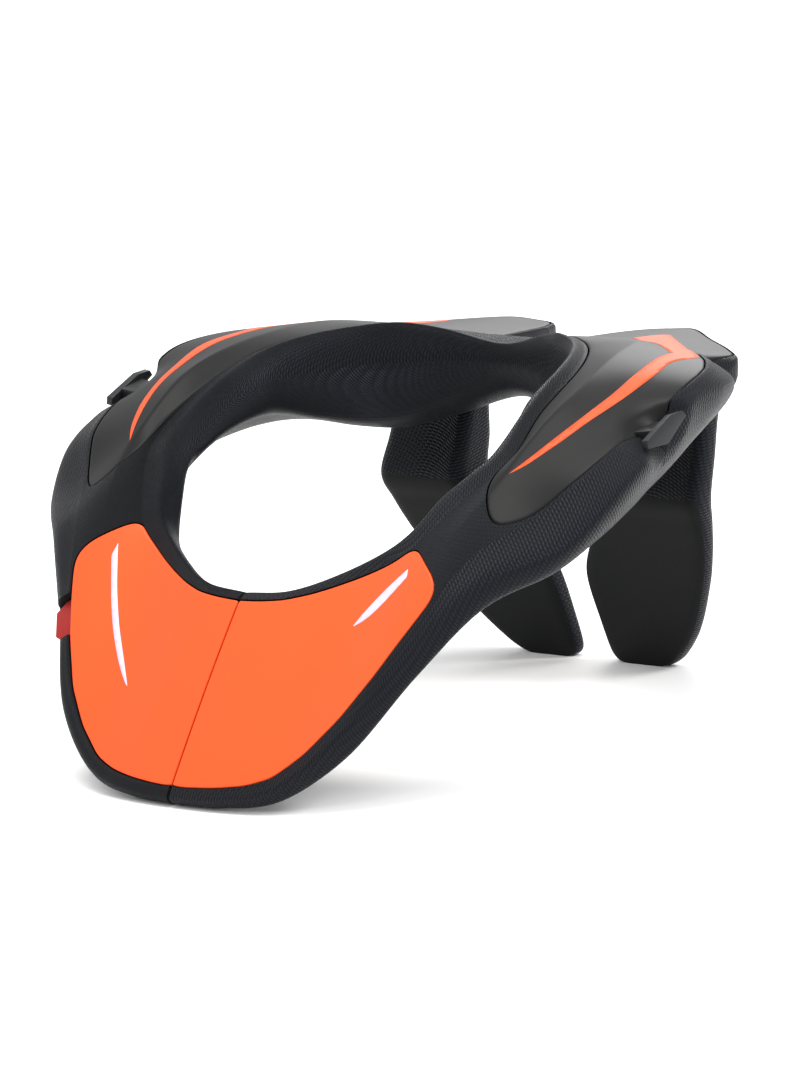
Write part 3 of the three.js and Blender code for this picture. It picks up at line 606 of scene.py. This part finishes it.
def keep_largest(piece):
    """Drop the loose crumbs that a cut leaves beside a solid."""
    bm = bmesh.new()
    bm.from_mesh(piece.data)
    islands = groups(bm.verts, lambda vert: [e.other_vert(vert) for e in vert.link_edges])
    islands.sort(key=len)
    for island in islands[:-1]:
        bmesh.ops.delete(bm, geom=list(island), context="VERTS")
    bm.to_mesh(piece.data)
    bm.free()


stabiliser = add_object("rear_stabiliser", spar_bm, [foam])
shelf = add_object("shelf", shelf_bm, [foam])
seat = add_object("seat", grown_bm, [foam])
combine(stabiliser, shelf, "UNION")
combine(stabiliser, seat, "DIFFERENCE")
keep_largest(stabiliser)
for helper in (shelf, seat):
    bpy.data.objects.remove(helper)
print("stabiliser:", len(stabiliser.data.polygons), "faces")

# %% [markdown]
# The shells and panels are thin mouldings laid into beds in the foam. Their outlines are
# read from the CAD nodes, so they always agree with them: the border of the part of a node's
# skin that faces outward, taken round in order.

# %% Outlines of the inserts
OUTWARD = 0.2
SAME_PLACE = 1e-6


def top_outline(node, out):
    """The border of a node's outer face, in order, as points in space."""
    bm = bmesh.new()
    bm.from_mesh(nodes[node].data)
    bmesh.ops.remove_doubles(bm, verts=bm.verts[:], dist=SAME_PLACE)
    top = [f for f in bm.faces if f.normal.dot(out) > OUTWARD]
    regions = groups(top, lambda face: [f for e in face.edges for f in e.link_faces])
    region = max(regions, key=lambda r: sum(f.calc_area() for f in r))
    links = {}
    for face in (f for f in bm.faces if f in region):
        for loop in face.loops:
            if sum(f in region for f in loop.edge.link_faces) == 1:
                links.setdefault(loop.vert, []).append(loop.link_loop_next.vert)
    loops = []
    while links:
        start = next(iter(links))
        line, vert = [], start
        while vert in links:
            line.append(vert.co.copy())
            following = links[vert].pop()
            if not links[vert]:
                del links[vert]
            vert = following
        loops.append(line)
    line = max(loops, key=len)
    bm.free()
    return [np.array(p) for p in line]


def in_plane(points, facing):
    """Points in space as flat coordinates in millimetres."""
    origin, across, up, out = facing
    return np.array([[(p - origin) @ across, (p - origin) @ up] for p in points]) / MM


print("left shell:", len(top_outline("shoulder_shell_left", Vector((0, 0, 1)))), "points")

# %% [markdown]
# The CAD outline is coarse where it is straight and has kinks where it is round. Points at
# an even step, each pulled a little towards its neighbours, give the soft line of a moulded
# plate. A bed's outline is the plate's, moved outward.

# %% Even out and grow an outline
LEAST_STRETCH = 0.5


def evened(outline, step, pinned=None, passes=3):
    """The outline with points at an even step, smoothed except where it is pinned."""
    closed = np.vstack([outline, outline[:1]])
    length = np.concatenate([[0], np.cumsum(np.linalg.norm(np.diff(closed, axis=0), axis=1))])
    marks = np.linspace(0, length[-1], int(length[-1] / step) + 1)[:-1]
    line = np.array([np.interp(marks, length, closed[:, k]) for k in (0, 1)]).T
    for _ in range(passes):
        smooth = (np.roll(line, 1, axis=0) + 2 * line + np.roll(line, -1, axis=0)) / 4
        hold = pinned(line) if pinned else np.zeros(len(line), bool)
        line = np.where(hold[:, None], line, smooth)
    return line


def grown(outline, distance):
    """The outline moved outward, with its corners kept."""
    before, after = np.roll(outline, 1, axis=0), np.roll(outline, -1, axis=0)
    area = np.sum(before[:, 0] * outline[:, 1] - outline[:, 0] * before[:, 1])
    turn = 1 if area > 0 else -1
    normals = []
    for a, b in ((before, outline), (outline, after)):
        d = (b - a) / np.linalg.norm(b - a, axis=1)[:, None]
        normals.append(turn * np.array([d[:, 1], -d[:, 0]]).T)
    middle = normals[0] + normals[1]
    middle /= np.linalg.norm(middle, axis=1)[:, None]
    stretch = np.maximum(np.sum(middle * normals[0], axis=1), LEAST_STRETCH)
    return outline + middle * (distance / stretch)[:, None]


square = np.array([(0, 0), (1, 0), (1, 1), (0, 1)])
print("a square grown by a quarter:", grown(square, 0.25).tolist())

# %% [markdown]
# A plate starts as its flat outline, cut into a grid. Dropping it on the foam means sending a
# ray from outside, along the way that the plate faces, to each grid corner and taking the
# first foam that it meets. The edge is rounded by three narrow strips that turn down, as a
# moulded edge does. The rays keep clear of the slit, where there is no foam to meet.

# %% A plate laid on the foam
# The first cut lies this share of a field inside the border.
GRID_START = 0.37
# A cut this close to a corner goes through it, and shorter edges than a speck are dropped.
WELD, SPECK = 1e-4, 0.02
# Rays start this far out, in metres, and this far aside from the wearer's middle.
RAY_START, CLEAR_OF_SLIT = 0.3, 1.0
# How far out and how far down each strip of the edge goes, in shares of its rounding.
EDGE_STRIPS = ((0.5, 0.134), (0.85, 0.473), (1.0, 1.0))


def plate(outline, facing, trees, above, thickness, rounding, grid):
    """A closed plate that follows the foam, in metres. Lengths are in millimetres."""
    origin, across, up, out = facing
    bm = bmesh.new()
    inner = grown(outline, -rounding) if rounding else outline
    verts = [bm.verts.new((x, y, 0)) for x, y in inner]
    bm.faces.new(verts)
    low, high = inner.min(axis=0), inner.max(axis=0)
    for axis in (0, 1):
        direction = Vector((axis == 0, axis == 1, 0))
        for value in np.arange(low[axis] + grid * GRID_START, high[axis], grid):
            bmesh.ops.bisect_plane(bm, geom=bm.verts[:] + bm.edges[:] + bm.faces[:],
                                   plane_co=direction * value, plane_no=direction, dist=WELD)
    bmesh.ops.dissolve_degenerate(bm, dist=SPECK, edges=bm.edges[:])
    drop = {}
    for share, depth in EDGE_STRIPS if rounding else ():
        border = [e for e in bm.edges if e.is_boundary]
        outward = {}
        for e in border:
            side = e.link_faces[0].calc_center_median()
            step = e.verts[1].co - e.verts[0].co
            normal = Vector((step.y, -step.x, 0))
            if normal.dot(e.verts[0].co - side) < 0:
                normal.negate()
            for v in e.verts:
                outward[v] = outward.get(v, Vector()) + normal.normalized()
        last = max(drop.values(), default=(0, 0))[0]
        places = {tuple(v.co): n.normalized() for v, n in outward.items()}
        made = bmesh.ops.extrude_edge_only(bm, edges=border)["geom"]
        for v in (g for g in made if isinstance(g, bmesh.types.BMVert)):
            v.co += places[tuple(v.co)] * rounding * (share - last)
            drop[v] = (share, depth)
    for v in bm.verts:
        sunk = drop.get(v, (0, 0))[1] * rounding
        aside = max(v.co.x, CLEAR_OF_SLIT)
        point = origin + (across * aside + up * v.co.y) * MM
        start = point + out * RAY_START
        hits = [t.ray_cast(Vector(start), -Vector(out)) for t in trees]
        hits = [h for h in hits if h[0] is not None]
        if hits:
            place = min(hits, key=lambda h: h[3])[0]
        else:
            place = trees[0].find_nearest(Vector(point))[0]
        v.co = place + Vector(out * (above - sunk) + across * (v.co.x - aside)) * MM
    soften(bm, [v for v in bm.verts if v not in drop and not v.is_boundary])
    made = bmesh.ops.extrude_face_region(bm, geom=bm.faces[:], use_keep_orig=True)["geom"]
    lower = [g for g in made if isinstance(g, bmesh.types.BMVert)]
    bmesh.ops.translate(bm, vec=-Vector(out) * thickness * MM, verts=lower)
    bmesh.ops.triangulate(bm, faces=[f for f in bm.faces if len(f.verts) > 4])
    bmesh.ops.recalc_face_normals(bm, faces=bm.faces[:])
    return bm


# %% [markdown]
# The chest panels face along the slope of the chest part, and the shells face straight up.
# Each gets a flat frame, in which its outline is read from the CAD node and evened out.

# %% Frames that the inserts face
X, Y, Z = np.eye(3)
chest_top = rails["rim"][0] + TO_FRAME
chest_foot = rails["edge"][0] + TO_FRAME
chest_up = (chest_top - chest_foot) * [0, 1, 1]
chest_up /= np.linalg.norm(chest_up)
CHEST = ((chest_foot * [0, 1, 1]) * MM, X, chest_up, np.cross(X, chest_up))
PLAN = (np.zeros(3), X, Y, Z)
BY_SLIT = 1.2
PANEL_STEP, SHELL_STEP = 2.0, 1.8

panel_line = in_plane(top_outline("chest_panel_left", Vector(CHEST[3])), CHEST)
panel_line = evened(panel_line, PANEL_STEP, pinned=lambda p: p[:, 0] < BY_SLIT)
shell_line = in_plane(top_outline("shoulder_shell_left", Vector(PLAN[3])), PLAN)
shell_line = evened(shell_line, SHELL_STEP)
print("outline points, panel and shell:", len(panel_line), len(shell_line))

# %% [markdown]
# Each plate is laid, and a slightly larger and taller copy of it cuts its bed in the foam,
# so that a dark slit of half a millimetre runs round it, as in the moulded original.

# %% Shells, panels and their beds
SIDE_GAP, BED_DEPTH, BED_RISE = 0.55, 3.0, 4
PANEL_THICKNESS, SHELL_THICKNESS, ROUNDING = 2.4, 2.6, 0.6
PLATE_GRID, BED_GRID = 1.1, 5
trees = [collar_tree, shelf_tree]
INSERTS = [
    ("chest_panel", panel_line, CHEST, [collar_tree], PANEL_THICKNESS, panel_plastic,
     "panel_plastic"),
    ("shoulder_shell", shell_line, PLAN, trees, SHELL_THICKNESS, shell_plastic,
     "shell_plastic"),
]


def mirror_bm(bm):
    """Turn a bmesh into its mirror image across the wearer's middle, with its faces out."""
    bmesh.ops.scale(bm, vec=(-1, 1, 1), verts=bm.verts[:])
    bmesh.ops.reverse_faces(bm, faces=bm.faces[:])
    return bm


beds = []
for name, line, facing, under, thickness, material, slot in INSERTS:
    wide = plate(grown(line, SIDE_GAP), facing, under, BED_RISE, BED_RISE + BED_DEPTH,
                 rounding=0, grid=BED_GRID)
    # The bed cutter carries the painted shade onto the walls of the slit that it cuts.
    beds.append(add_object(name + "_bed", wide, [bed_painted_shade]))
    for side in ("left", "right"):
        bm = plate(line, facing, under, 0, thickness, rounding=ROUNDING, grid=PLATE_GRID)
        if side == "right":
            mirror_bm(bm)
        piece = add_object(f"{name}_{side}_plate", bm, [material])
        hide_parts(f"{name}_{side}")
        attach(piece, "root")
        print(piece.name, len(piece.data.polygons), "faces")

# %% [markdown]
# The moulded foam has a recess under each plate. Cutting it with a boolean leaves the same
# sharp edge that the mould leaves, which shading alone would not give.

# %% Cut the beds
def mirrored_object(piece, name):
    """The mirror image of a piece, as an object of its own."""
    bm = bmesh.new()
    bm.from_mesh(piece.data)
    return add_object(name, mirror_bm(bm), piece.data.materials[:])


combine(stabiliser, beds[1], "DIFFERENCE")
keep_largest(stabiliser)
for bed in beds:
    combine(collar, bed, "DIFFERENCE")
    other = mirrored_object(bed, bed.name + "_right")
    combine(collar, other, "DIFFERENCE")
    for cutter in (bed, other):
        bpy.data.objects.remove(cutter)
print("collar after its beds:", len(collar.data.polygons), "faces")

# %% [markdown]
# The tab comes out of a notch in the foam at the panel's edge. The notch is the hull of the
# tab's own corners, moved out by the clearance and then forward and sideways to open it.

# %% The slot of the pull tab, open to the front
TAB_PLACE, TAB_SPAN = 3.75, 0.4
OPEN_FRONT, OPEN_SIDE = 7, 18
FOLD = math.radians(50)


def tab_slot():
    """The cutter for the slot, along the outer edge's slope at the tab's place."""
    span = [TAB_PLACE - TAB_SPAN, TAB_PLACE + TAB_SPAN]
    ends = through(rails["edge"], span) * [-1, 1, 1]
    up = ends[1] - ends[0]
    up /= np.linalg.norm(up)
    out = CHEST[3] - up * (CHEST[3] @ up)
    out /= np.linalg.norm(out)
    away = np.cross(up, out)
    away *= -np.sign(away[0])
    bm = bmesh.new()
    for vert in nodes["pull_tab"].data.vertices:
        for a, b, c in np.ndindex(2, 2, 2):
            slack = (away * (a - 0.5) + up * (b - 0.5) + out * (c - 0.5)) * 2 * SEAT_GAP
            for front, side in ((0, 0), (1, 0), (1, 1), (0, 1)):
                reach = slack + away * OPEN_SIDE * side + out * OPEN_FRONT * front
                bm.verts.new(np.array(vert.co) + reach * MM)
    bmesh.ops.convex_hull(bm, input=bm.verts[:])
    loose = [v for v in bm.verts if not v.link_faces]
    bmesh.ops.delete(bm, geom=loose, context="VERTS")
    bmesh.ops.recalc_face_normals(bm, faces=bm.faces[:])
    return add_object("tab_slot", bm, [smooth_foam])


slot_cutter = tab_slot()
combine(collar, slot_cutter, "DIFFERENCE")
bpy.data.objects.remove(slot_cutter)
keep_largest(collar)

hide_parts("collar")
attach(collar, "root")
collar.data.set_sharp_from_angle(angle=FOLD)
print("collar with beds and slot:", len(collar.data.polygons), "faces")

# %% [markdown]
# The left stabiliser is finished and then mirrored. Its front face below the knee is smooth
# on the real one, so those faces get the smooth skin, and the rest keeps the weave.

# %% Left and right stabilisers
KNEE, FORWARD = 0.078, -0.5
stabiliser.data.materials.append(smooth_foam)
smooth_index = len(stabiliser.data.materials) - 1
for face in stabiliser.data.polygons:
    if face.normal.y < FORWARD and face.center.z < KNEE:
        face.material_index = smooth_index
stabiliser.data.set_sharp_from_angle(angle=FOLD)
stabiliser.name = "foam_stabiliser_left"
right = mirrored_object(stabiliser, "foam_stabiliser_right")
right.data.set_sharp_from_angle(angle=FOLD)
for piece, side in ((stabiliser, "left"), (right, "right")):
    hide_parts(f"rear_stabiliser_{side}")
    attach(piece, "root")
    print(piece.name, len(piece.data.polygons), "faces")

# %% [markdown]
# The lugs and the tab are small mouldings whose CAD solids already have the right form.
# A copy of each gets rounded edges with the bevel operator.

# %% Lugs and tab
SAME_FACE, SHARP, CREASE = math.radians(3), 0.4, math.radians(40)
LUG_RADIUS, TAB_RADIUS = 0.7, 0.6


def rounded_copy(node, name, radius, material):
    """A copy of a CAD node with its sharp edges rounded."""
    bm = bmesh.new()
    bm.from_mesh(nodes[node].data)
    bmesh.ops.remove_doubles(bm, verts=bm.verts[:], dist=SAME_PLACE)
    bmesh.ops.dissolve_limit(bm, angle_limit=SAME_FACE, verts=bm.verts[:], edges=bm.edges[:])
    sharp = [e for e in bm.edges if len(e.link_faces) == 2 and e.calc_face_angle() > SHARP]
    bmesh.ops.bevel(bm, geom=sharp, offset=radius * MM, offset_type="OFFSET", segments=3,
                    profile=0.5, affect="EDGES", clamp_overlap=True, material=-1)
    piece = add_object(name, bm, [material])
    piece.data.set_sharp_from_angle(angle=CREASE)
    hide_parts(node)
    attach(piece, "root")
    print(name, len(piece.data.polygons), "faces")


for side in ("left", "right"):
    rounded_copy(f"strap_lug_{side}", f"lug_{side}", LUG_RADIUS, lug_plastic)
rounded_copy("pull_tab", "tab", TAB_RADIUS, tab_rubber)

# %% [markdown]
# The stripes are ink on the plastic. Each is a very thin plate, dropped on the same foam
# surface as the shell or panel it is printed on, and lifted just clear of it. The points
# are in millimetres from the wearer's middle: seen from above on a shell, and seen from
# the front, with their height, on a panel.

# %% Outlines of the stripes
SHELL_STRIPE = [
    (99.0, -39.4), (104.5, -33.2), (110.9, -20.0), (115.5, -2.3), (117.7, 14.0), (118.0, 24.5),
    (116.5, 32.0), (113.2, 40.0), (112.3, 46.1), (114.0, 51.5), (114.6, 57.6), (85.1, 83.5),
    (58.8, 107.3), (54.8, 106.8), (55.4, 97.4), (56.1, 87.6), (80.0, 70.9), (91.9, 62.6),
    (103.4, 54.6), (103.9, 51.0), (104.4, 46.0), (107.3, 36.2), (110.1, 25.6), (111.6, 13.7),
    (111.6, 3.0), (110.6, -7.5), (108.3, -17.0), (103.9, -29.6)]
PANEL_STRIPE_LEFT = [
    (74.6, 86.4), (76.0, 83.6), (69.9, 76.2), (62.6, 68.4), (57.7, 66.2), (59.8, 70.4),
    (65.1, 77.9), (70.2, 82.9)]
PANEL_STRIPE_RIGHT = [
    (75.9, 85.2), (73.1, 80.1), (67.8, 70.2), (59.3, 58.1), (48.6, 45.5), (42.6, 38.5),
    (44.5, 39.1), (52.9, 46.8), (61.3, 56.4), (68.1, 66.1), (72.7, 74.3), (76.3, 80.9)]
print("stripe points:", len(SHELL_STRIPE), len(PANEL_STRIPE_LEFT), len(PANEL_STRIPE_RIGHT))

# %% [markdown]
# A few points give each outline, and smoothing makes them the round line of a printed
# stripe. Its corners are named by their places in the row, and are held where they are.

# %% Printed stripes
INK_STEP, INK_PASSES, CORNER_REACH = 1.0, 25, 0.8
INK_LIFT, INK_THICKNESS, INK_GRID = 0.12, 0.2, 2.5


def stripe(name, outline, corners, facing, under, side, material):
    """Ink with smooth edges that keeps its corners."""
    outline = np.array(outline)
    tips = outline[corners]

    def by_a_tip(points):
        return np.linalg.norm(points[:, None] - tips, axis=2).min(axis=1) < CORNER_REACH

    line = evened(outline, INK_STEP, pinned=by_a_tip, passes=INK_PASSES)
    bm = plate(line, facing, under, INK_LIFT, INK_THICKNESS, rounding=0, grid=INK_GRID)
    if side == "right":
        mirror_bm(bm)
    piece = add_object(name, bm, [material])
    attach(piece, "root")
    print(name, len(piece.data.polygons), "faces")


def on_chest(outline):
    """Points given by their place across and their height, on the chest's slope."""
    return [(x, (z - chest_foot[2]) / chest_up[2]) for x, z in outline]


for side in ("left", "right"):
    stripe(f"shell_stripe_{side}", SHELL_STRIPE, [0, 10, 12, 15, 18], PLAN, trees, side,
           orange_print)
stripe("panel_stripe_left", on_chest(PANEL_STRIPE_LEFT), [0, 1, 4], CHEST, [collar_tree],
       "left", white_print)
stripe("panel_stripe_right", on_chest(PANEL_STRIPE_RIGHT), [0, 5, 11], CHEST, [collar_tree],
       "right", white_print)

# %% [markdown]
# The stage is a pale floor in a white room. One large soft light hangs overhead, and three
# smaller ones stand in front, behind and at the side. Lengths are in metres and powers in
# watts.

# %% Floor and light
FLOOR_HALF_WIDTH = 20
AIM = Vector((0, 0, 0.1))

bm = bmesh.new()
bmesh.ops.create_grid(bm, x_segments=1, y_segments=1, size=FLOOR_HALF_WIDTH)
floor_paint = new_material("studio_floor_paint", "fbfbfb", roughness=0.9, specular=0.0)[0]
add_object("studio_floor", bm, [floor_paint])

world = bpy.data.worlds.new("studio")
bpy.context.scene.world = world
world.use_nodes = True
world.node_tree.nodes["Background"].inputs["Color"].default_value = linear("ffffff")
world.node_tree.nodes["Background"].inputs["Strength"].default_value = 1.0


def soft_light(name, place, size, power, colour="ffffff"):
    """A round lamp that shines at the middle of the brace."""
    light = bpy.data.lights.new(name, "AREA")
    light.color = linear(colour)[:3]
    light.shape = "DISK"
    light.size = size
    light.energy = power
    lamp = bpy.data.objects.new(name, light)
    bpy.context.scene.collection.objects.link(lamp)
    lamp.location = place
    lamp.rotation_mode = "QUATERNION"
    lamp.rotation_quaternion = (AIM - Vector(place)).to_track_quat("-Z", "Y")


soft_light("top_light", place=(-0.1, -0.1, 1.6), size=1.0, power=18, colour="fffcf8")
soft_light("front_light", place=(0.5, -1.3, 1.5), size=0.6, power=4)
soft_light("back_light", place=(-0.9, 1.5, 0.9), size=0.7, power=7)
soft_light("side_light", place=(1.3, 0.4, 1.2), size=0.5, power=16)
print("lights:", len(bpy.data.lights))

# %% [markdown]
# The camera stands a good two and a half metres off, with a long lens, as a studio
# camera does for a small object. It leans by a few degrees, as the photographer's did, so
# its right and its up are written out instead of a point to look at.

# %% Camera
camera = bpy.data.objects.new("camera", bpy.data.cameras.new("camera"))
bpy.context.scene.collection.objects.link(camera)
camera.data.sensor_width = 36
camera.data.lens = 219.7
camera.data.clip_start, camera.data.clip_end = 0.1, 100
right_of_view = Vector((0.74222, 0.66425, -0.08878))
up_of_view = Vector((-0.07292, 0.21173, 0.97461))
towards = right_of_view.cross(up_of_view)
turned = Matrix(np.array([right_of_view, up_of_view, towards]).T.tolist())
camera.rotation_mode = "QUATERNION"
camera.rotation_quaternion = turned.to_quaternion()
camera.location = (1.72802, -1.85544, 0.60418)
bpy.context.scene.camera = camera
bpy.context.scene.view_settings.view_transform = "Standard"
print("camera to brace:", round(camera.location.length, 2), "m")
